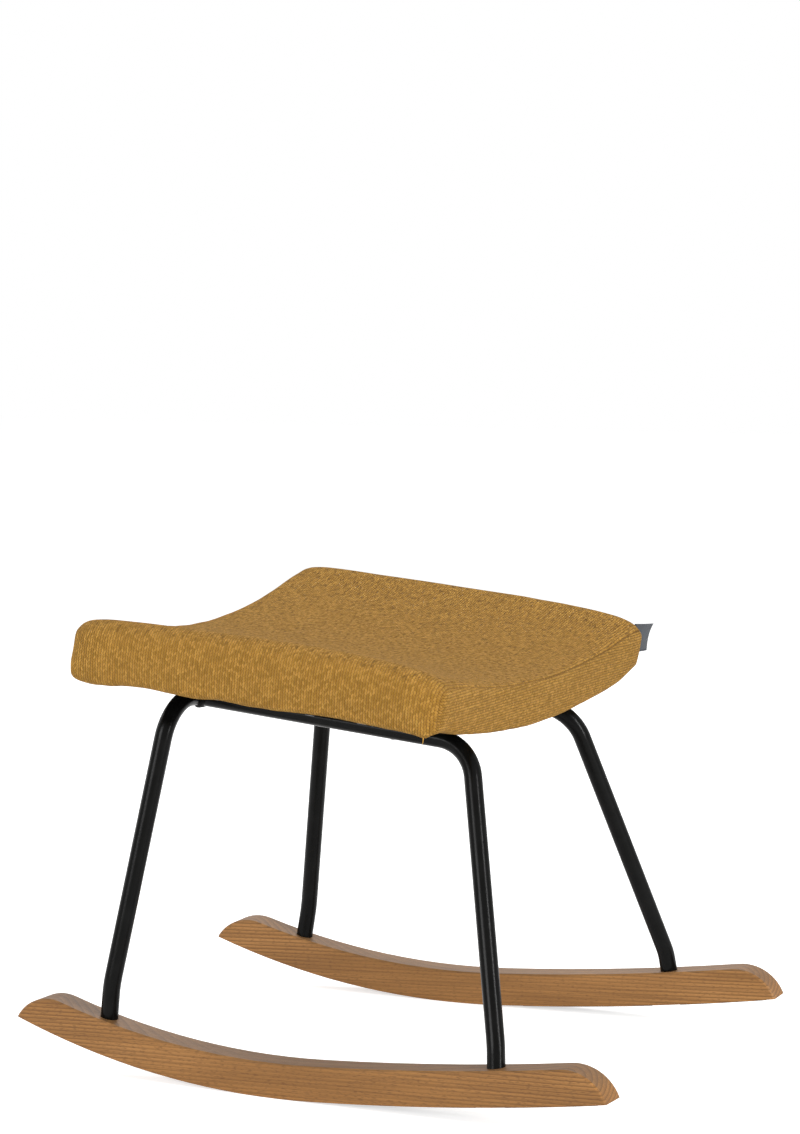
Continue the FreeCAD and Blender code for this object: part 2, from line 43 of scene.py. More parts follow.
# Studio: the camera stands off the stool's left side, a little toward its rear and above the seat.
# A pale floor runs on into a white backdrop; soft boxes all round and above light the stool.
picture_height = 1134
axis_row_px = 800.0
focal_length_px = 3242.95
camera_place = Vector((1.27591, -2.62732, 0.73913))
camera_yaw = -0.45285
camera_pitch = 0.17175
camera_roll = -0.00797


def aim_camera():
    """The camera, level but for its pitch and a trace of roll, with its axis low in the picture."""
    camera = bpy.data.objects.new("studio_camera", bpy.data.cameras.new("studio_camera"))
    scene.collection.objects.link(camera)
    ahead = Vector((math.sin(camera_yaw) * math.cos(camera_pitch),
                    math.cos(camera_yaw) * math.cos(camera_pitch), -math.sin(camera_pitch)))
    level = Vector((math.cos(camera_yaw), -math.sin(camera_yaw), 0.0))
    upright = level.cross(ahead)
    across = level * math.cos(camera_roll) + upright * math.sin(camera_roll)
    above = upright * math.cos(camera_roll) - level * math.sin(camera_roll)
    camera.matrix_world = Matrix((
        (across.x, above.x, -ahead.x, camera_place.x),
        (across.y, above.y, -ahead.y, camera_place.y),
        (across.z, above.z, -ahead.z, camera_place.z),
        (0.0, 0.0, 0.0, 1.0)))
    camera.data.sensor_width = 36.0
    camera.data.lens = focal_length_px * camera.data.sensor_width / picture_height
    camera.data.shift_y = (axis_row_px - picture_height / 2.0) / picture_height
    camera.data.clip_start = 0.05
    camera.data.clip_end = 60.0
    scene.camera = camera


aim_camera()


def fill(tree, made, sockets):
    """Each named socket of a node is linked, or set to a value."""
    for name, given in sockets.items():
        if isinstance(given, bpy.types.NodeSocket):
            tree.links.new(given, made.inputs[name])
        else:
            made.inputs[name].default_value = given
    return made


def add(tree, kind, sockets=None, **settings):
    """One shader node with its settings and sockets."""
    made = tree.nodes.new("ShaderNode" + kind)
    for name, value in settings.items():
        setattr(made, name, value)
    return fill(tree, made, sockets or {})


def calc(tree, operation, first, second=0.0, third=0.0):
    """The result of one sum on sockets or numbers."""
    return add(tree, "Math", {0: first, 1: second, 2: third}, operation=operation).outputs[0]


def scaled(tree, value, by, plus=0.0):
    """A value times one number, plus another."""
    return calc(tree, "MULTIPLY_ADD", value, by, plus)


def seen_directly(tree):
    """1 for camera, glossy and transmission rays, which see the white studio."""
    path = add(tree, "LightPath").outputs
    either = calc(tree, "MAXIMUM", path["Is Camera Ray"], path["Is Glossy Ray"])
    return calc(tree, "MAXIMUM", either, path["Is Transmission Ray"])


def light_studio():
    """A dim white surrounding that is seen as plain white, and the soft boxes."""
    ambient_strength = 0.50
    world = bpy.data.worlds.new("studio")
    world.use_nodes = True
    scene.world = world
    tree = world.node_tree
    strength = scaled(tree, seen_directly(tree), by=1.0 - ambient_strength, plus=ambient_strength)
    fill(tree, tree.nodes["Background"], {"Color": (1.0, 1.0, 1.0, 1.0), "Strength": strength})

    target = Vector((0.0, 0.0, 0.25))
    boxes = (
        ("key_box", Vector((-0.9, -2.6, 1.0)), 1.2, 1.2, 52.0),
        ("right_strip", Vector((2.5, -0.6, 0.9)), 0.3, 1.6, 54.0),
        ("left_strip", Vector((-2.4, 0.2, 0.9)), 0.4, 1.6, 6.0),
        ("overhead_box", Vector((0.2, 0.3, 2.6)), 1.6, 1.6, 15.0),
        ("back_box", Vector((-0.9, 1.9, 2.3)), 1.2, 1.2, 30.0),
    )
    for name, place, width, height, power in boxes:
        lamp = bpy.data.lights.new(name, "AREA")
        lamp.shape = "RECTANGLE"
        lamp.size = width
        lamp.size_y = height
        lamp.energy = power
        soft_box = bpy.data.objects.new(name, lamp)
        soft_box.location = place
        soft_box.rotation_euler = (target - place).to_track_quat("-Z", "Y").to_euler()
        scene.collection.objects.link(soft_box)


light_studio()


def finish_material(name, base, roughness):
    """A new material; its plain colour and roughness hold where no node feeds them."""
    material = bpy.data.materials.new(name)
    material.use_nodes = True
    tree = material.node_tree
    shader = fill(tree, tree.nodes["Principled BSDF"], {"Base Color": (*base, 1.0), "Roughness": roughness})
    return material, tree, shader


def lay_floor():
    """A pale sheet of paper, with its own faint glow where the studio is seen."""
    half_size = 9.0
    seen_glow = 0.60
    mesh = bpy.data.meshes.new("studio_floor")
    mesh.from_pydata([(-half_size, -half_size, 0.0), (half_size, -half_size, 0.0),
                      (half_size, half_size, 0.0), (-half_size, half_size, 0.0)], [], [(0, 1, 2, 3)])
    floor = bpy.data.objects.new("studio_floor", mesh)
    scene.collection.objects.link(floor)
    material, tree, shader = finish_material("floor_paper", (0.80, 0.80, 0.80), 0.9)
    fill(tree, shader, {"Specular IOR Level": 0.0, "Emission Color": (1.0, 1.0, 1.0, 1.0),
                        "Emission Strength": scaled(tree, seen_directly(tree), by=seen_glow)})
    mesh.materials.append(material)


lay_floor()


# Rockers: one solid oak board each, sawn to its curve from a straight-grained plank and oiled.
# The grain runs level through the board, so the curves cut it and it shows as stripes on the noses.
splay = math.radians(2.0)
grain_climb = math.radians(2.2)
rocker_line = 0.1967
pith_aside = 0.045
pith_above = 0.17
next_board = 3.1
ring_pitch = 0.0034
ring_waver = 0.009
oak_shades = ((0.25, (0.228, 0.103, 0.027)), (0.55, (0.318, 0.150, 0.043)), (0.80, (0.410, 0.202, 0.064)))
late_wood = (0.085, 0.035, 0.010)
dark_fibre = (0.130, 0.057, 0.017)
open_pore = (0.105, 0.045, 0.014)
# Painted shade: a darker grey brown for the rockers' upward faces.
painted_top_shade = (0.120, 0.076, 0.043)


def new_group(name, inputs, outputs):
    """An empty shader node group, with its input and output nodes."""
    tree = bpy.data.node_groups.new(name, "ShaderNodeTree")
    for way, sockets in (("INPUT", inputs), ("OUTPUT", outputs)):
        for socket_name, kind in sockets.items():
            tree.interface.new_socket(name=socket_name, in_out=way, socket_type="NodeSocket" + kind)
    return tree, tree.nodes.new("NodeGroupInput"), tree.nodes.new("NodeGroupOutput")


def object_place(tree):
    """The place on the piece, in metres."""
    return add(tree, "TexCoord").outputs["Object"]


def axis_of(tree, vector, axis):
    return add(tree, "SeparateXYZ", {"Vector": vector}).outputs[axis]


def facing_up(tree):
    """1 where the surface faces up, 0 where it is upright and -1 underneath."""
    return axis_of(tree, add(tree, "NewGeometry").outputs["Normal"], "Z")


def stretched(tree, vector, scale):
    """The vector scaled along each axis, for patterns that run one way."""
    return add(tree, "Mapping", {"Vector": vector, "Scale": scale}).outputs[0]


def noise_of(tree, vector, scale=1.0, detail=2.0, roughness=0.5):
    sockets = {"Vector": vector, "Scale": scale, "Detail": detail, "Roughness": roughness}
    return add(tree, "TexNoise", sockets).outputs["Fac"]


def smooth_mask(tree, value, low, high):
    """0 at low and 1 at high, with a soft step between; low may be the greater."""
    return add(tree, "MapRange", {"Value": value, "From Min": low, "From Max": high},
               interpolation_type="SMOOTHSTEP").outputs[0]


def ramp(tree, factor, stops):
    """A colour ramp from (place, colour) stops."""
    made = add(tree, "ValToRGB", {"Fac": factor})
    elements = made.color_ramp.elements
    while len(elements) < len(stops):
        elements.new(0.5)
    for element, (place, colour) in zip(elements, stops):
        element.position = place
        element.color = (*colour, 1.0)
    return made.outputs["Color"]


def laid_over(tree, under, colour, mask, strength=1.0):
    """One colour laid over another where the mask is, as strongly as given."""
    below, above = [given if isinstance(given, bpy.types.NodeSocket) else (*given, 1.0)
                    for given in (under, colour)]
    share = calc(tree, "MULTIPLY", mask, strength)
    return add(tree, "Mix", {0: share, 6: below, 7: above}, data_type="RGBA").outputs[2]


def emboss(tree, shader, height, strength, depth):
    """A bump whose height of 1 stands up by the depth, in metres."""
    bump = add(tree, "Bump", {"Height": height, "Strength": strength, "Distance": depth})
    tree.links.new(bump.outputs[0], shader.inputs["Normal"])


def grain_group():
    """Wood with its grain along X: year rings, long fibre streaks, slow changes of tone, and pores."""
    tree, given, result = new_group(
        "wood_grain", {"Vector": "Vector", "Ring Pitch": "Float"},
        {"Rings": "Float", "Fibre": "Float", "Tone": "Float", "Pores": "Float"})
    vector = given.outputs["Vector"]
    from_pith = calc(tree, "SQRT", calc(tree, "ADD", calc(tree, "POWER", axis_of(tree, vector, "Y"), 2.0),
                                        calc(tree, "POWER", axis_of(tree, vector, "Z"), 2.0)))
    waver = noise_of(tree, stretched(tree, vector, (2.5, 12.0, 12.0)), detail=1.5)
    wavering = scaled(tree, waver, by=ring_waver, plus=from_pith)
    year = calc(tree, "FRACT", calc(tree, "DIVIDE", wavering, given.outputs["Ring Pitch"]))
    summer = calc(tree, "POWER", year, 2.6)
    winter_stop = smooth_mask(tree, year, low=1.0, high=0.92)
    pore_noise = noise_of(tree, stretched(tree, vector, (210.0, 1250.0, 1250.0)), detail=1.0)
    fill(tree, result, {
        "Rings": calc(tree, "MULTIPLY", summer, winter_stop),
        "Fibre": noise_of(tree, stretched(tree, vector, (9.0, 700.0, 700.0)), detail=4.0, roughness=0.6),
        "Tone": noise_of(tree, stretched(tree, vector, (4.0, 40.0, 40.0)), detail=3.0),
        "Pores": smooth_mask(tree, pore_noise, low=0.54, high=0.68)})
    return tree


wood_grain = grain_group()


def board_vector(tree, side):
    """Coordinates with X along one rocker's grain and the tree's heart at Y = Z = 0."""
    straight = add(tree, "Mapping", {"Vector": object_place(tree),
                                     "Rotation": (0.0, 0.0, -side * splay)}).outputs[0]
    shift = (side * next_board, -side * rocker_line + pith_aside, -pith_above)
    return add(tree, "Mapping", {"Vector": straight, "Rotation": (0.0, grain_climb, 0.0),
                                 "Location": shift}).outputs[0]


def oak_material(name, side):
    material, tree, shader = finish_material(name, (0.4, 0.2, 0.08), 0.5)
    grain = add(tree, "Group", {"Vector": board_vector(tree, side), "Ring Pitch": ring_pitch},
                node_tree=wood_grain).outputs
    from_middle = calc(tree, "ABSOLUTE", axis_of(tree, object_place(tree), "X"))
    toward_noses = smooth_mask(tree, from_middle, low=0.10, high=0.24)
    ring_strength = scaled(tree, toward_noses, by=0.50, plus=0.50)
    streak = smooth_mask(tree, grain["Fibre"], low=0.35, high=0.75)
    # The upward faces are darkened toward grey brown: painted shade.
    upper = smooth_mask(tree, facing_up(tree), low=0.55, high=0.85)
    colour = ramp(tree, grain["Tone"], oak_shades)
    colour = laid_over(tree, colour, late_wood, grain["Rings"], ring_strength)
    colour = laid_over(tree, colour, dark_fibre, streak, strength=0.52)
    colour = laid_over(tree, colour, open_pore, grain["Pores"], strength=0.48)
    colour = laid_over(tree, colour, painted_top_shade, upper, strength=0.42)
    fill(tree, shader, {"Base Color": colour, "Roughness": scaled(tree, grain["Fibre"], by=0.22, plus=0.38),
                        "Specular IOR Level": 0.22})
    height = scaled(tree, grain["Fibre"], by=0.5, plus=scaled(tree, grain["Rings"], by=-0.4))
    height = calc(tree, "SUBTRACT", height, scaled(tree, grain["Pores"], by=0.7))
    emboss(tree, shader, height, strength=0.25, depth=0.0004)
    return material


def dress(material, *names):
    """Give CAD nodes a material in place of the plain one they come with."""
    for name in names:
        for slot in nodes[name].material_slots:
            slot.material = material


dress(oak_material("oiled_oak_right", 1), "right_rocker")
dress(oak_material("oiled_oak_left", -1), "left_rocker")


# Frame: bent and welded round steel tube, blasted and powder coated black.
# The coat has a fine orange-peel skin that spreads the highlights; it lies rougher on the weld beads.
coat_black = (0.0022, 0.0022, 0.0020)
coat_dusty = (0.0042, 0.0042, 0.0040)


def powder_coat(name, least_roughness, ripple_height):
    material, tree, shader = finish_material(name, (0.006, 0.006, 0.006), 0.42)
    here = object_place(tree)
    peel = noise_of(tree, here, scale=1100.0)
    dust = smooth_mask(tree, noise_of(tree, here, scale=60.0, detail=4.0), low=0.3, high=0.8)
    fill(tree, shader, {"Base Color": laid_over(tree, coat_black, coat_dusty, dust), "IOR": 1.17,
                        "Roughness": scaled(tree, peel, by=0.10, plus=least_roughness)})
    ripples = noise_of(tree, here, scale=420.0, detail=1.0)
    height = scaled(tree, ripples, by=ripple_height, plus=peel)
    emboss(tree, shader, height, strength=0.22, depth=0.0002)
    return material


dress(powder_coat("black_powder_coat", least_roughness=0.18, ripple_height=0.0), "front_leg_frame",
      "right_rear_leg", "left_rear_leg", "rear_cross_tube", "fixing_plates")
dress(powder_coat("coat_on_welds", least_roughness=0.60, ripple_height=5.0), "frame_welds")


# Fasteners: zinc plated screws, bolts, washers and T-nuts, and the plugs in the legs' ends.
# The plating is thin and slightly mottled.
zinc_shades = ((0.3, (0.46, 0.47, 0.48)), (0.7, (0.66, 0.66, 0.65)))


def zinc_plate():
    material, tree, shader = finish_material("zinc_plate", (0.55, 0.56, 0.57), 0.34)
    mottle = noise_of(tree, object_place(tree), scale=420.0, detail=3.0)
    fill(tree, shader, {"Metallic": 1.0, "Base Color": ramp(tree, mottle, zinc_shades),
                        "Roughness": scaled(tree, mottle, by=0.25, plus=0.22)})
    return material


dress(zinc_plate(), "leg_plugs", "rocker_bolts", "rocker_washers", "seat_screws", "seat_washers",
      "seat_nuts")


# Glide strips: dark pressed felt, glued under the rear half of each rocker.
# Its surface is a short matted nap.
felt_shades = ((0.3, (0.018, 0.015, 0.013)), (0.75, (0.060, 0.052, 0.045)))


def felt():
    material, tree, shader = finish_material("dark_felt", (0.035, 0.030, 0.026), 0.95)
    nap = noise_of(tree, object_place(tree), scale=1600.0, detail=3.0, roughness=0.7)
    fill(tree, shader, {"Base Color": ramp(tree, nap, felt_shades)})
    emboss(tree, shader, nap, strength=0.6, depth=0.0005)
    return material


dress(felt(), "right_glide_strips", "left_glide_strips")


# Seat board: beech plywood pressed to the curve, raw, hidden inside the cover.
# Its thin plies show as fine stripes along the board.
ply_pitch = 0.0015
beech_shades = ((0.2, (0.44, 0.30, 0.17)), (0.8, (0.62, 0.47, 0.31)))
ply_line = (0.36, 0.22, 0.12)


def plywood():
    material, tree, shader = finish_material("beech_plywood", (0.55, 0.40, 0.25), 0.6)
    grain = add(tree, "Group", {"Vector": object_place(tree), "Ring Pitch": ply_pitch},
                node_tree=wood_grain).outputs
    colour = ramp(tree, grain["Fibre"], beech_shades)
    colour = laid_over(tree, colour, ply_line, grain["Rings"], strength=0.3)
    fill(tree, shader, {"Base Color": colour})
    emboss(tree, shader, grain["Fibre"], strength=0.2, depth=0.0003)
    return material


dress(plywood(), "seat_board")


# Cushion: a foam pad on the bent board, in a sewn cover of knobbly mustard-yellow upholstery cloth.
# One panel wraps over the top and both long sides; a band closes each end, sewn with a plain seam.
# The hems turn in under the board; the stuffing is firm, so the cover is tight with soft edges.
seat_slope = math.radians(5.2966)
seat_origin = Vector((-0.035, 0.0, 0.3302))
seat_length = 0.357
half_seat_width = 0.225
front_seam_x = -0.1784
rear_seam_x = 0.1740
trough_radius = 1.170
board_base = -0.00081
board_thickness = 0.010
board_half_length = 0.1679
board_half_width = 0.2114
cloth_thickness = 0.0018
hem_inner_side = 0.198
hem_inner_end = 0.1485


def to_world(x, y, z):
    """From the seat's own tipped frame to the stool's."""
    return seat_origin + Vector((x * math.cos(seat_slope) + z * math.sin(seat_slope), y,
                                 z * math.cos(seat_slope) - x * math.sin(seat_slope)))


def to_seat(place):
    """From the stool's frame back to the seat's own."""
    away = place - seat_origin
    return (away.x * math.cos(seat_slope) - away.z * math.sin(seat_slope), away.y,
            away.x * math.sin(seat_slope) + away.z * math.cos(seat_slope))


def ease(value, low, high):
    """0 below low and 1 above high, with a soft step between."""
    share = min(max((value - low) / (high - low), 0.0), 1.0)
    return share * share * (3.0 - 2.0 * share)


def wander(place, scale, seed):
    """Smooth noise between about -1 and 1."""
    return noise.noise(Vector(place) * scale + Vector((seed * 7.31, seed * 3.17, seed * 5.53)))


def arch_at(y):
    """How far the board's curve has risen at y from the seat's middle line."""
    return trough_radius - math.sqrt(trough_radius**2 - y * y)


# The near skirt's hang, as (share of the way from front to rear, share of the drop).
near_skirt_drop = 0.0055
skirt_zone = (hem_inner_side - 0.004, half_seat_width - 0.006)
skirt_profile = ((0.0, 1.45), (0.05, 1.48), (0.10, 1.20), (0.16, 0.62), (0.22, 0.42), (0.28, 0.70),
                 (0.34, 0.74), (0.41, 0.32), (0.48, 0.47), (0.55, 0.42), (0.69, 0.32), (0.84, 0.40),
                 (0.95, 0.72), (1.0, 0.90))


def skirt_at(y, share):
    """How far the near skirt hangs: most at the front corner, drawn up unevenly behind it."""
    for (before, low), (after, high) in zip(skirt_profile, skirt_profile[1:]):
        if before <= share <= after:
            part = low + (high - low) * ease(share, before, after)
            return near_skirt_drop * part * ease(-y, *skirt_zone)
    return 0.0


# The hem's unevenness, as (height, waves to the metre, seed).
hem_waves = ((0.0012, 26.0, 3), (0.0006, 85.0, 4))
hem_wave_zone = (0.190, 0.215)


def under_height(y, share):
    """The cushion's underside: the board's curve, the near skirt and the uneven hem."""
    along = (share * seat_length, 0.0, 0.0)
    ragged = sum(height * wander(along, scale, seed) for height, scale, seed in hem_waves)
    ragged *= ease(abs(y), *hem_wave_zone)
    return board_base - cloth_thickness + arch_at(y) - skirt_at(y, share) + ragged


top_middle = 0.0413
top_crown = 0.0015
front_dish = 0.80
dish_loss = 0.06
rear_dish_loss = 0.28
rear_dish_power = 8.0
near_front_drop = 0.0068
near_front_zone = (0.125, 0.200)
near_front_fade = 2.5
far_rear_lift = 0.0040
far_rear_zone = (0.120, 0.210)
far_rear_fade = 6
far_front_lift = 0.0018
far_front_zone = (0.150, 0.210)


def top_height(y, share):
    """The cushion's top: dished across, flatter at the rear, and low at the near front corner."""
    dish = front_dish - dish_loss * share - rear_dish_loss * share**rear_dish_power
    drop = near_front_drop * ease(-y, *near_front_zone) * (1.0 - share)**near_front_fade
    lift = (far_rear_lift * ease(y, *far_rear_zone) * share**far_rear_fade
            + far_front_lift * ease(y, *far_front_zone) * (1.0 - share))
    return top_middle + top_crown * (1.0 - (2.0 * share - 1.0)**2) + dish * y * y - drop + lift


def slope_at(curve, y, share):
    step = 0.0005
    return (curve(y + step, share) - curve(y - step, share)) / (2.0 * step)


def arc_points(centre_y, centre_z, radius, start, end, steps):
    return [(centre_y + radius * math.cos(start + (end - start) * k / steps),
             centre_z + radius * math.sin(start + (end - start) * k / steps)) for k in range(steps + 1)]


# The far side, 1, has a softer lower edge than the near side, -1; both are softest at the front.
top_arc_radius = {1: 0.017, -1: 0.0175}
low_arc_radius = {1: 0.0125, -1: 0.0065}
wall_lean = {1: 0.004, -1: 0.001}
front_top_softness = 0.002
front_low_softness = 0.005
side_waist = 0.0012
wall_swell = 0.0014
arc_steps = 6
wall_steps = 7


def side_outline(side, share):
    """One side of the seat's section, from the top round the top edge, wall and lower edge."""
    wall_top = half_seat_width - side_waist * math.sin(math.pi * share)
    wall_low = wall_top - wall_lean[side]
    at_front = (1.0 - share)**3
    radius = top_arc_radius[side] + front_top_softness * at_front
    low_radius = low_arc_radius[side] + front_low_softness * at_front
    y = wall_top - radius
    slope = slope_at(lambda v, s: top_height(side * v, s), y, share)
    z = top_height(side * y, share) - radius * math.sqrt(1.0 + slope * slope)
    upper = arc_points(y, z, radius, math.pi / 2.0 + math.atan(slope), 0.0, arc_steps)
    y = wall_low - low_radius
    slope = slope_at(lambda v, s: under_height(side * v, s), y, share)
    z = under_height(side * y, share) + low_radius * math.sqrt(1.0 + slope * slope)
    lower = arc_points(y, z, low_radius, 0.0, -math.pi / 2.0 + math.atan(slope), arc_steps)
    wall = []
    for k in range(1, wall_steps):
        t = k / wall_steps
        wall.append((upper[-1][0] + (lower[0][0] - upper[-1][0]) * t + wall_swell * math.sin(math.pi * t),
                     upper[-1][1] + (lower[0][1] - upper[-1][1]) * t))
    return [(side * py, pz) for py, pz in upper + wall + lower]


columns_across = 76
hem_steps = 3


def seat_section(share):
    """The closed section as four runs that share their end points: top, right, bottom and left."""
    right = side_outline(1, share)
    left = side_outline(-1, share)
    half = arc_steps // 2
    top = left[half::-1]
    for k in range(1, columns_across):
        y = left[0][0] + (right[0][0] - left[0][0]) * (k / columns_across)
        top.append((y, top_height(y, share)))
    top += right[:half + 1]
    low_left = left[-1][0]
    low_right = right[-1][0]
    inner_steps = columns_across - 2 * hem_steps
    bottom_y = [low_left + (-hem_inner_side - low_left) * k / hem_steps for k in range(1, hem_steps)]
    bottom_y += [-hem_inner_side + 2.0 * hem_inner_side * k / inner_steps for k in range(inner_steps + 1)]
    bottom_y += [hem_inner_side + (low_right - hem_inner_side) * k / hem_steps for k in range(1, hem_steps)]
    bottom = left[-1 - half:] + [(y, under_height(y, share)) for y in bottom_y] + right[:-2 - half:-1]
    return top, right[half:-half], bottom, left[half:-half]


# How the end seams bow, tuck in toward the hem, and reach out at the corners.
band_top_z = 0.052
band_top_rise = 0.55
band_depth = 0.050
band_overhang = 1.2
front_bow = 0.0010
front_tuck = 0.0022
near_front_reach = 0.0027
near_front_kick = 0.0012
near_end_zone = (0.100, 0.215)
rear_bow = 0.0025
rear_tuck = 0.0016
rear_tuck_power = 1.5
far_rear_reach = 0.0045
far_end_zone = (0.08, 0.215)


def end_place(y, z, share):
    """Where the section point (y, z) lies along the seat, between the two end seams."""
    middle = 1.0 - (y / half_seat_width)**2
    low = min(max((band_top_z + band_top_rise * y * y - z) / band_depth, 0.0), band_overhang)
    near = ease(-y, *near_end_zone)
    front = (front_seam_x - front_bow * middle + front_tuck * low**2 * (1.0 - near)
             - near * (near_front_reach + near_front_kick * low))
    rear = (rear_seam_x + rear_bow * middle - rear_tuck * low**rear_tuck_power
            + far_rear_reach * ease(y, *far_end_zone))
    return front + (rear - front) * share


seam_to_seam_mm = 346.0
close_stations_mm = (0.0, 1.3, 3.0, 5.5, 9.0, 13.0, 18.5)
plain_start_mm = 24.5
plain_steps = 54


def station_shares():
    """Where the sections stand, as shares of the way from seam to seam: closest beside the seams."""
    plain_length = seam_to_seam_mm - 2.0 * plain_start_mm
    plain = [plain_start_mm + plain_length * k / plain_steps for k in range(plain_steps + 1)]
    far_end = [seam_to_seam_mm - v for v in reversed(close_stations_mm)]
    return [v / seam_to_seam_mm for v in (*close_stations_mm, *plain, *far_end)]


seam_to_seam = seam_to_seam_mm / 1000.0
seam_reach = 0.012
seam_pull = 0.0020
seam_pull_reach = 0.009
stitch_depth = 0.0005
corner_pull = 0.0042
corner_pull_reach = 0.026
corner_zone = (0.165, 0.215)
square_share = 0.85
square_zone = (0.1, 0.2)
square_height = 0.030
square_fade = 0.02


def seam_share(distance):
    """1 on a seam, falling to 0 where its puckers end."""
    return max(0.0, 1.0 - distance / seam_reach)


def seam_inset(y, z, share, from_end):
    """How far an end seam draws the cloth in: most at the corners, least at the near front one."""
    edge = seam_pull * max(0.0, 1.0 - from_end / seam_pull_reach)**2
    stitched = stitch_depth if from_end == 0.0 else 0.0
    corner = corner_pull * max(0.0, 1.0 - from_end / corner_pull_reach)**2 * ease(abs(y), *corner_zone)
    if share < 0.5:
        low = ease(under_height(y, share) + square_height - z, 0.0, square_fade)
        corner *= 1.0 - square_share * ease(-y, *square_zone) * low
    return edge + stitched + corner


tuft_x = 0.1610
tuft_drop = 0.0032
tuft_width = 0.0045
tuft_zone = (0.214, 0.221)
tuft_height = 0.012
tuft_fade = 0.008


def tuft_at(x, y, z, share):
    """How far the hem's gathered point hangs, under the near side by the rear seam."""
    low_side = ease(-y, *tuft_zone) * ease(under_height(y, share) + tuft_height - z, 0.0, tuft_fade)
    return tuft_drop * low_side * math.exp(-((x - tuft_x) / tuft_width)**2)


def run_shares(points):
    """How far along its run each point lies, from 0 to 1."""
    lengths = [0.0]
    for before, after in zip(points, points[1:]):
        lengths.append(lengths[-1] + (after.co - before.co).length)
    return [v / lengths[-1] for v in lengths]


band_swell = 0.0034
band_swell_power = 2.5
band_cloth_shift = 2.0


def close_end(made, ring, across_count, down_count, outward, cloth, seam_layer):
    """Fill one end with a sewn band: a grid stretched between the four runs of its outline."""
    last_across = across_count - 1
    last_down = down_count - 1
    top = ring[:across_count]
    right = ring[last_across:last_across + down_count]
    bottom = ring[last_across + last_down:last_across + last_down + across_count]
    bottom.reverse()
    left = [ring[-k] for k in range(down_count)]
    grid = [[None] * across_count for _ in range(down_count)]
    grid[0] = top
    grid[-1] = bottom
    for j in range(1, last_down):
        grid[j][0] = left[j]
        grid[j][-1] = right[j]
    top_shares = run_shares(top)
    bottom_shares = run_shares(bottom)
    left_shares = run_shares(left)
    right_shares = run_shares(right)
    axis = (to_world(1.0, 0.0, 0.0) - to_world(0.0, 0.0, 0.0)) * outward
    for j in range(1, last_down):
        for k in range(1, last_across):
            v = left_shares[j] + (right_shares[j] - left_shares[j]) * k / last_across
            u = top_shares[k] + (bottom_shares[k] - top_shares[k]) * v
            place = (top[k].co * (1.0 - v) + bottom[k].co * v + left[j].co * (1.0 - u) + right[j].co * u
                     - top[0].co * (1.0 - u) * (1.0 - v) - top[-1].co * u * (1.0 - v)
                     - bottom[0].co * (1.0 - u) * v - bottom[-1].co * u * v)
            edges = (top[k], bottom[k], left[j], right[j])
            beside = seam_share(min((place - edge.co).length for edge in edges))
            grid[j][k] = made.verts.new(place + axis * (band_swell * (1.0 - beside**band_swell_power)))
            grid[j][k][seam_layer] = beside
    for j in range(last_down):
        for k in range(last_across):
            face = made.faces.new((grid[j][k], grid[j + 1][k], grid[j + 1][k + 1], grid[j][k + 1]))
            for corner in face.loops:
                place = corner.vert.co
                corner[cloth].uv = (place.z + band_cloth_shift, place.y + band_cloth_shift)


def recess_board(made, opening):
    """Let the board into the underside: up through the hem's thickness, out under it, then up."""
    faces = opening
    for outward, rise in ((False, cloth_thickness), (True, 0.0), (False, board_thickness)):
        out = bmesh.ops.extrude_face_region(made, geom=faces)
        bmesh.ops.delete(made, geom=faces, context="FACES")
        faces = [item for item in out["geom"] if isinstance(item, bmesh.types.BMFace)]
        for vert in [item for item in out["geom"] if isinstance(item, bmesh.types.BMVert)]:
            x, y, z = to_seat(vert.co)
            before = arch_at(y)
            if outward:
                x *= board_half_length / hem_inner_end
                y *= board_half_width / hem_inner_side
            vert.co = to_world(x, y, z + rise + arch_at(y) - before)


# The cover's unevenness, as (height, waves to the metre, seed), and the puckers beside its seams.
cover_waves = ((0.0005, 16.0, 1), (0.00028, 48.0, 2))
pucker_height = 0.0022
pucker_scale = 95.0
pucker_length = 0.3


def ripple(made, seam_layer):
    """The cover's small hollows and swells, and the short puckers beside the end seams."""
    for vert in made.verts:
        place = vert.co
        beside = vert[seam_layer]
        shift = sum(height * wander(place, scale, seed) for height, scale, seed in cover_waves)
        gather = wander((place.x * pucker_length, place.y, place.z), pucker_scale, 5)
        shift += pucker_height * beside * (1.0 - beside) * gather
        vert.co = place + vert.normal * shift


thread_steps = 6
thread_sides = 6
thread_length = 0.0066
thread_radius = 0.00055
thread_taper = 0.75
thread_root_y = -0.2205
thread_root_z = 0.0145
thread_sway = 0.0006
thread_curl = 2.5
thread_drift = 0.0012
one_stitch = (0.0012, 0.0012)


def loose_thread(made, cloth):
    """A cut end of sewing thread that hangs below the near rear corner, tapering to its tip."""
    rings = []
    for k in range(thread_steps + 1):
        t = k / thread_steps
        radius = thread_radius * (1.0 - thread_taper * t)
        middle = Vector((tuft_x + thread_sway * math.sin(thread_curl * t), thread_root_y - thread_drift * t,
                         thread_root_z - thread_length * t))
        turns = [2.0 * math.pi * turn / thread_sides for turn in range(thread_sides)]
        rings.append([made.verts.new(to_world(middle.x + radius * math.cos(angle),
                                              middle.y + radius * math.sin(angle), middle.z))
                      for angle in turns])
    faces = [made.faces.new((a[i - 1], a[i], b[i], b[i - 1]))
             for a, b in zip(rings, rings[1:]) for i in range(thread_sides)]
    faces += [made.faces.new(rings[0]), made.faces.new(rings[-1])]
    bmesh.ops.recalc_face_normals(made, faces=faces)
    for face in faces:
        for corner in face.loops:
            corner[cloth].uv = one_stitch


def new_piece(name, made):
    """The finished mesh as an object of the scene."""
    mesh = bpy.data.meshes.new(name)
    made.to_mesh(mesh)
    made.free()
    piece = bpy.data.objects.new(name, mesh)
    scene.collection.objects.link(piece)
    return piece


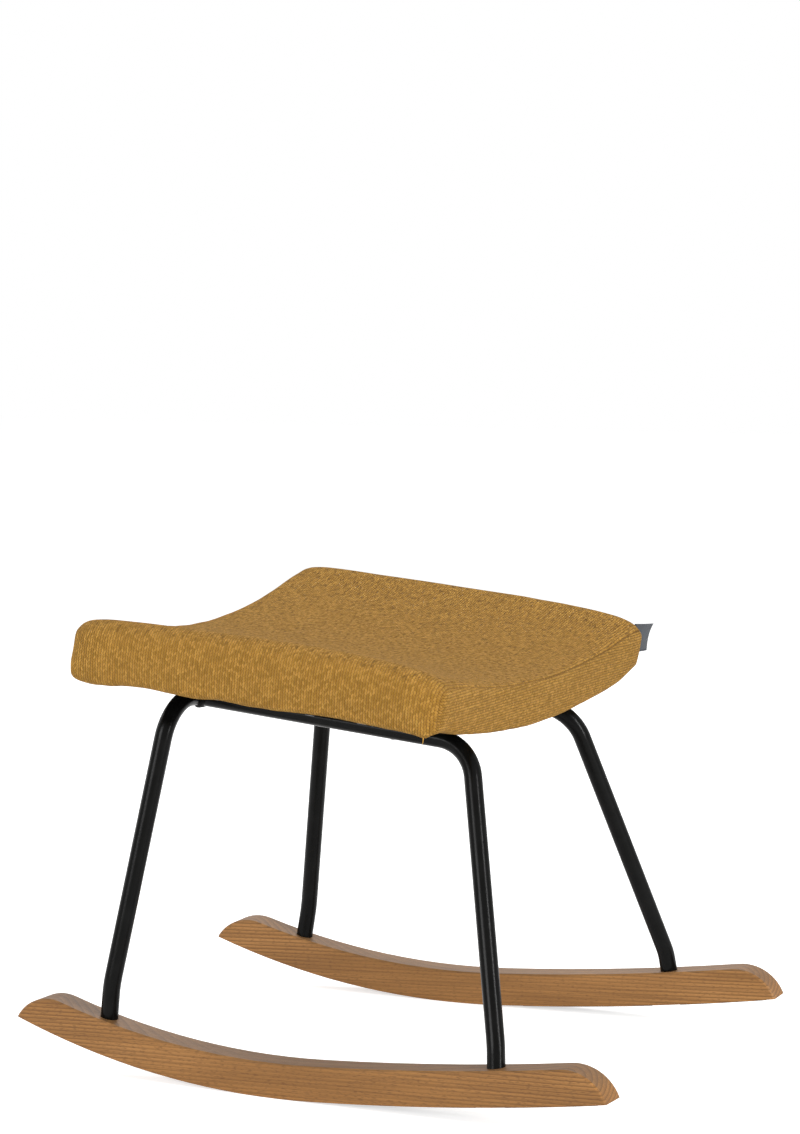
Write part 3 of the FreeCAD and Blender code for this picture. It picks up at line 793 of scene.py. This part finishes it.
def build_cushion():
    """The wrapped panel as rings of points from seam to seam, then the bands and the board's bed."""
    made = bmesh.new()
    cloth = made.loops.layers.uv.new("cloth")
    seam_layer = made.verts.layers.float.new("seam")
    shares = station_shares()
    rings = []
    travels = []
    for share in shares:
        from_end = min(share, 1.0 - share) * seam_to_seam
        top, right, bottom, left = seat_section(share)
        loop = top + right[1:] + bottom[-2::-1] + left[-2:0:-1]
        ring = []
        travel = [0.0]
        for k, (y, z) in enumerate(loop):
            after = Vector(loop[(k + 1) % len(loop)])
            along = (after - Vector(loop[k - 1])).normalized()
            inward = Vector((along.y, -along.x))
            here = Vector((y, z)) + inward * seam_inset(y, z, share, from_end)
            x = end_place(y, z, share)
            ring.append(made.verts.new(to_world(x, here.x, here.y - tuft_at(x, y, z, share))))
            ring[-1][seam_layer] = seam_share(from_end)
            travel.append(travel[-1] + (after - Vector((y, z))).length)
        rings.append(ring)
        travels.append(travel)

    count = len(loop)
    bottom_start = len(top) + len(right) - 2
    opening = []
    for i in range(len(rings) - 1):
        for k in range(count):
            n = (k + 1) % count
            face = made.faces.new((rings[i][k], rings[i + 1][k], rings[i + 1][n], rings[i][n]))
            places = ((i, k), (i + 1, k), (i + 1, k + 1), (i, k + 1))
            for corner, (a, b) in zip(face.loops, places):
                corner[cloth].uv = (shares[a] * seam_to_seam, travels[a][b])
            if bottom_start <= k < bottom_start + len(bottom) - 1:
                x, y, _ = to_seat(face.calc_center_median())
                if abs(x) < hem_inner_end and abs(y) < hem_inner_side:
                    opening.append(face)

    for ring, outward in ((rings[0], -1.0), (rings[-1], 1.0)):
        close_end(made, ring, len(top), len(right), outward, cloth, seam_layer)
    recess_board(made, opening)
    bmesh.ops.recalc_face_normals(made, faces=made.faces)
    made.normal_update()
    ripple(made, seam_layer)
    loose_thread(made, cloth)
    return new_piece("cushion", made)


cushion = build_cushion()
for polygon in cushion.data.polygons:
    polygon.use_smooth = True
rounding = cushion.modifiers.new("rounding", "SUBSURF")
rounding.levels = 1
rounding.render_levels = 1


sway_scale = 170.0
row_sway = (0.0011, 0.0024, 0.0)
stitch_lean = 0.55
side_roundness = 3.6
end_roundness = 5.0
fluffiness = 0.55


def weave_group():
    """Knobbly weave: rows of short fat stitches that lean left and right in turn."""
    tree, given, result = new_group(
        "knobbly_weave", {"Vector": "Vector", "Row Pitch": "Float", "Stitch Length": "Float"},
        {"Height": "Float", "Tone": "Float", "Gap": "Float"})
    vector = given.outputs["Vector"]
    sway = add(tree, "TexNoise", {"Vector": vector, "Scale": sway_scale, "Detail": 2.0}).outputs["Color"]
    centred = add(tree, "VectorMath", {0: sway, 1: (0.5, 0.5, 0.5)}, operation="SUBTRACT").outputs[0]
    swayed = add(tree, "VectorMath", {0: centred, 1: row_sway, 2: vector},
                 operation="MULTIPLY_ADD").outputs[0]
    across_rows = calc(tree, "DIVIDE", axis_of(tree, swayed, "X"), given.outputs["Row Pitch"])
    row = calc(tree, "FLOOR", across_rows)
    odd_row = calc(tree, "PINGPONG", row, 1.0)
    aside = calc(tree, "SUBTRACT", calc(tree, "FRACT", across_rows), 0.5)
    lean = calc(tree, "MULTIPLY", aside, scaled(tree, odd_row, by=2.0 * stitch_lean, plus=-stitch_lean))
    half_step = scaled(tree, odd_row, by=0.5, plus=lean)
    stitches = calc(tree, "DIVIDE", axis_of(tree, swayed, "Y"), given.outputs["Stitch Length"])
    along = calc(tree, "ADD", stitches, half_step)
    stitch = calc(tree, "FLOOR", along)
    ahead = calc(tree, "SUBTRACT", calc(tree, "FRACT", along), 0.5)
    side_fall = scaled(tree, calc(tree, "POWER", calc(tree, "ABSOLUTE", aside), 2.0), by=side_roundness)
    end_fall = scaled(tree, calc(tree, "POWER", calc(tree, "ABSOLUTE", ahead), 2.6), by=end_roundness)
    round_top = calc(tree, "SUBTRACT", 1.0, calc(tree, "ADD", side_fall, end_fall))
    which = add(tree, "CombineXYZ", {"X": row, "Y": stitch}).outputs[0]
    fluff = noise_of(tree, vector, scale=2600.0, roughness=0.7)
    height = scaled(tree, fluff, by=fluffiness, plus=round_top)
    fill(tree, result, {
        "Height": height,
        "Tone": add(tree, "TexWhiteNoise", {"Vector": which}, noise_dimensions="2D").outputs["Value"],
        "Gap": smooth_mask(tree, height, low=0.62, high=0.15)})
    return tree


knobbly_weave = weave_group()
stitch_shades = ((0.0, (0.368, 0.183, 0.026)), (0.5, (0.475, 0.241, 0.040)), (1.0, (0.615, 0.328, 0.063)))
faded_patch = (0.40, 0.205, 0.040)
# Brown flecks of the yarn; on the top they also serve as painted shade.
brown_fleck_and_shade = (0.170, 0.080, 0.012)
# Painted shade for the hollows between the stitches.
painted_gap_shade = (0.15, 0.064, 0.010)
seam_shadow = (0.13, 0.055, 0.010)


def mustard_cloth():
    material, tree, shader = finish_material("mustard_cloth", (0.50, 0.26, 0.05), 0.92)
    uv = add(tree, "UVMap", uv_map="cloth").outputs[0]
    weave = add(tree, "Group", {"Vector": uv, "Row Pitch": 0.0024, "Stitch Length": 0.0027},
                node_tree=knobbly_weave).outputs
    cloud = smooth_mask(tree, noise_of(tree, uv, scale=24.0, detail=4.0, roughness=0.6), low=0.3, high=0.75)
    flecks = smooth_mask(tree, noise_of(tree, stretched(tree, uv, (440.0, 130.0, 1.0))), low=0.50, high=0.68)
    # The flecks are the yarn's own, but where the cloth faces up they are laid on more strongly as painted
    # shade.
    fleck_and_top_shade = scaled(tree, smooth_mask(tree, facing_up(tree), low=0.35, high=0.85), by=0.55, plus=0.22)
    seam = add(tree, "Attribute", attribute_name="seam").outputs["Fac"]
    on_seam = smooth_mask(tree, seam, low=0.91, high=1.0)
    toward_far_side = smooth_mask(tree, axis_of(tree, object_place(tree), "Y"), low=-0.12, high=0.10)
    seam_strength = scaled(tree, toward_far_side, by=0.40, plus=0.12)
    colour = ramp(tree, weave["Tone"], stitch_shades)
    colour = laid_over(tree, colour, faded_patch, cloud, strength=0.18)
    colour = laid_over(tree, colour, brown_fleck_and_shade, flecks, fleck_and_top_shade)
    # The gaps between the stitches get painted shade.
    colour = laid_over(tree, colour, painted_gap_shade, weave["Gap"], strength=0.85)
    colour = laid_over(tree, colour, seam_shadow, on_seam, seam_strength)
    fill(tree, shader, {"Base Color": colour, "Specular IOR Level": 0.12, "Sheen Weight": 0.08,
                        "Sheen Roughness": 0.45, "Sheen Tint": (1.0, 0.86, 0.52, 1.0)})
    emboss(tree, shader, weave["Height"], strength=1.0, depth=0.0016)
    return material


cushion.data.materials.append(mustard_cloth())
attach(cushion, "root")
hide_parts("foam_pad", "cover_top_panel", "cover_front_band", "cover_rear_band")


# Dust cover: thin black non-woven cloth, stapled over the hems to close the seat's underside.
# It lies against the board in the middle and over the hem's raw edge all round.
cover_half_length = 0.1550
cover_half_width = 0.2045
cover_columns = 96
cover_rows = 120
cut_waviness = 0.0012
cut_wave_scale = 30.0
end_cut_zone = (0.14, 0.155)
side_cut_zone = (0.19, 0.204)
step_start = 0.0035
step_end = 0.0002
slack = 0.00018
slack_scale = 38.0
board_gap = 0.0002
hem_gap = 0.0012
dust_black = (0.005, 0.005, 0.0055)
dust_grey = (0.020, 0.020, 0.021)


def board_under(y):
    return board_base + arch_at(y)


def skirt_under(x, y):
    """How far the near skirt hangs over the place (x, y) of the seat."""
    return skirt_at(y, (x - front_seam_x) / (rear_seam_x - front_seam_x))


def build_dust_cover():
    made = bmesh.new()
    grid = []
    for i in range(cover_columns + 1):
        column = []
        for k in range(cover_rows + 1):
            x = cover_half_length * (2.0 * i / cover_columns - 1.0)
            y = cover_half_width * (2.0 * k / cover_rows - 1.0)
            x += cut_waviness * wander((0.0, y, 0.0), cut_wave_scale, 11) * ease(abs(x), *end_cut_zone)
            y += cut_waviness * wander((x, 0.0, 0.0), cut_wave_scale, 12) * ease(abs(y), *side_cut_zone)
            over_hem = max(ease(abs(x), hem_inner_end - step_start, hem_inner_end - step_end),
                           ease(abs(y), hem_inner_side - step_start, hem_inner_side - step_end))
            sag = slack * (1.0 + wander((x, y, 0.0), slack_scale, 13)) * (1.0 - over_hem)
            below_hem = over_hem * (cloth_thickness + hem_gap + skirt_under(x, y))
            column.append(made.verts.new(to_world(x, y, board_under(y) - board_gap - below_hem - sag)))
        grid.append(column)
    for i in range(cover_columns):
        for k in range(cover_rows):
            made.faces.new((grid[i][k], grid[i][k + 1], grid[i + 1][k + 1], grid[i + 1][k]))
    return new_piece("dust_cover_cloth", made)


def dust_cloth():
    material, tree, shader = finish_material("black_dust_cloth", (0.012, 0.012, 0.013), 0.9)
    here = object_place(tree)
    cells = add(tree, "TexVoronoi", {"Vector": stretched(tree, here, (1.0, 1.0, 0.0)), "Scale": 620.0})
    dimple = smooth_mask(tree, cells.outputs["Distance"], low=0.05, high=0.42)
    fibres = noise_of(tree, here, scale=2200.0)
    fill(tree, shader, {"Base Color": laid_over(tree, dust_black, dust_grey, dimple)})
    emboss(tree, shader, scaled(tree, fibres, by=0.5, plus=dimple), strength=0.5, depth=0.0004)
    return material


dust_cover = build_dust_cover()
dust_cover.data.materials.append(dust_cloth())
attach(dust_cover, "root")
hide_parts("dust_cover")


# Staples: fine galvanised wire, shot through the dust cover and hem into the board.
# They sit all round in a row near the dust cover's edge, some a little askew.
# The profile is (share of the crown, rise in wire thicknesses) from one leg to the other.
staple_crown = 0.0100
staple_wire = 0.0010
staple_profile = ((-0.5, -1.2), (-0.5, 0.15), (-0.42, 0.50), (0.42, 0.50), (0.5, 0.15), (0.5, -1.2))
wire_sides = 8
wire_flatness = (1.3, 0.8)
staple_inset = 0.0045
staple_depth = 0.0014
staples_per_side = 7
staples_per_end = 9
side_row_short = 0.015
end_row_short = 0.018
along_slip = 0.004
across_slip = 0.001
askew = 0.16
wire_shades = ((0.3, (0.20, 0.20, 0.20)), (0.7, (0.34, 0.34, 0.33)))


def bend_staple(made, middle, along, upward):
    """One staple's crown: a flat wire with rounded shoulders that dive into the cloth."""
    aside = along.cross(upward).normalized()
    half = staple_wire / 2.0
    wide, thick = wire_flatness
    rings = []
    for share, rise in staple_profile:
        centre = middle + along * (share * staple_crown) + upward * (rise * staple_wire)
        lift = upward if abs(share) < 0.5 else along * (-1.0 if share > 0.0 else 1.0)
        turns = [2.0 * math.pi * turn / wire_sides for turn in range(wire_sides)]
        rings.append([made.verts.new(centre + aside * (half * wide * math.cos(angle))
                                     + lift * (half * thick * math.sin(angle))) for angle in turns])
    for before, after in zip(rings, rings[1:]):
        for turn in range(wire_sides):
            made.faces.new((before[turn - 1], before[turn], after[turn], after[turn - 1]))


def staple_places():
    """Where the staples go in, with the turn of each crown."""
    for k in range(staples_per_side):
        x = (cover_half_length - side_row_short) * (2.0 * k / (staples_per_side - 1) - 1.0)
        for side in (-1.0, 1.0):
            yield x, side * (cover_half_width - staple_inset), 0.0
    for k in range(staples_per_end):
        y = (cover_half_width - end_row_short) * (2.0 * k / (staples_per_end - 1) - 1.0)
        for side in (-1.0, 1.0):
            yield side * (cover_half_length - staple_inset), y, math.pi / 2.0


def build_staples():
    chance = random.Random(11)
    made = bmesh.new()
    origin = to_world(0.0, 0.0, 0.0)
    downward = (to_world(0.0, 0.0, -1.0) - origin).normalized()
    for x, y, turn in staple_places():
        slip_x, slip_y = (across_slip, along_slip) if turn else (along_slip, across_slip)
        x += chance.uniform(-slip_x, slip_x)
        y += chance.uniform(-slip_y, slip_y)
        turn += chance.uniform(-askew, askew)
        middle = to_world(x, y, board_under(y) - cloth_thickness - staple_depth - skirt_under(x, y))
        lean = y / trough_radius
        along = to_world(math.cos(turn), math.sin(turn), lean * math.sin(turn)) - origin
        bend_staple(made, middle, along.normalized(), downward)
    bmesh.ops.recalc_face_normals(made, faces=made.faces)
    return new_piece("staples", made)


def staple_steel():
    material, tree, shader = finish_material("galvanised_wire", (0.62, 0.62, 0.60), 0.35)
    dull = noise_of(tree, object_place(tree), scale=900.0)
    fill(tree, shader, {"Metallic": 1.0, "Base Color": ramp(tree, dull, wire_shades),
                        "Roughness": scaled(tree, dull, by=0.3, plus=0.25)})
    return material


staples = build_staples()
staples.data.materials.append(staple_steel())
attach(staples, "root")


# Side tag: a short woven blue-grey ribbon, folded in two and sewn into the rear right corner seam.
# It twists a little, so its upper end turns further to the rear than its lower end.
tag_root_x = 0.1715
tag_root_y = 0.2160
tag_top_z = 0.0628
tag_height = 0.0268
tag_reach = 0.0215
tag_low_heading = math.radians(74.0)
tag_high_heading = math.radians(58.0)
tag_bow = 0.0011
tag_gap = 0.0007
tag_steps_out = 16
tag_steps_up = 24
rib_pitch = 0.0007
thread_pitch = 0.0005
ribbon_shades = ((0.2, (0.036, 0.040, 0.046)), (0.8, (0.092, 0.099, 0.110)))
selvedge_blue = (0.022, 0.026, 0.036)


def tag_point(reach_share, height_share, layer_side):
    """A point of the ribbon: reach 0 is in the seam, 1 the fold; height 0 is the lower end."""
    heading = tag_low_heading + (tag_high_heading - tag_low_heading) * height_share**3
    gap = tag_gap * layer_side * math.cos(math.pi * 0.5 * reach_share)
    aside = tag_bow * math.sin(math.pi * reach_share) + gap
    reach = tag_reach * reach_share
    return to_world(tag_root_x + reach * math.cos(heading) + aside * math.sin(heading),
                    tag_root_y + reach * math.sin(heading) - aside * math.cos(heading),
                    tag_top_z - tag_height * (1.0 - height_share))


def build_tag():
    made = bmesh.new()
    cloth = made.loops.layers.uv.new("cloth")
    path = [(k / tag_steps_out, 1.0) for k in range(tag_steps_out + 1)]
    path += [(1.0 - k / tag_steps_out, -1.0) for k in range(1, tag_steps_out + 1)]
    grid = [[made.verts.new(tag_point(reach, j / tag_steps_up, side)) for j in range(tag_steps_up + 1)]
            for reach, side in path]
    for i in range(len(path) - 1):
        for j in range(tag_steps_up):
            face = made.faces.new((grid[i][j], grid[i + 1][j], grid[i + 1][j + 1], grid[i][j + 1]))
            places = ((i, j), (i + 1, j), (i + 1, j + 1), (i, j + 1))
            for corner, (a, b) in zip(face.loops, places):
                corner[cloth].uv = (a * tag_reach / tag_steps_out, b * tag_height / tag_steps_up)
    return new_piece("side_tag_ribbon", made)


def waves(tree, value, pitch):
    """Smooth waves between 0 and 1, a pitch apart."""
    return scaled(tree, calc(tree, "SINE", scaled(tree, value, by=2.0 * math.pi / pitch)), by=0.5, plus=0.5)


def ribbon():
    material, tree, shader = finish_material("blue_grey_ribbon", (0.10, 0.12, 0.15), 0.75)
    uv = add(tree, "UVMap", uv_map="cloth").outputs[0]
    up_ribbon = axis_of(tree, uv, "Y")
    ribs = waves(tree, up_ribbon, rib_pitch)
    threads = waves(tree, axis_of(tree, uv, "X"), thread_pitch)
    weave = calc(tree, "MULTIPLY", ribs, threads)
    fleck = noise_of(tree, uv, scale=1500.0, roughness=0.7)
    tone = scaled(tree, fleck, by=0.6, plus=scaled(tree, weave, by=0.5))
    selvedge = smooth_mask(tree, up_ribbon, low=0.0026, high=0.0008)
    colour = laid_over(tree, ramp(tree, tone, ribbon_shades), selvedge_blue, selvedge)
    fill(tree, shader, {"Base Color": colour})
    emboss(tree, shader, weave, strength=0.5, depth=0.0003)
    return material


tag = build_tag()
for polygon in tag.data.polygons:
    polygon.use_smooth = True
ribbon_body = tag.modifiers.new("ribbon_thickness", "SOLIDIFY")
ribbon_body.thickness = 0.0004
ribbon_body.offset = 0.0
tag.data.materials.append(ribbon())
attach(tag, "root")
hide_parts("side_tag")
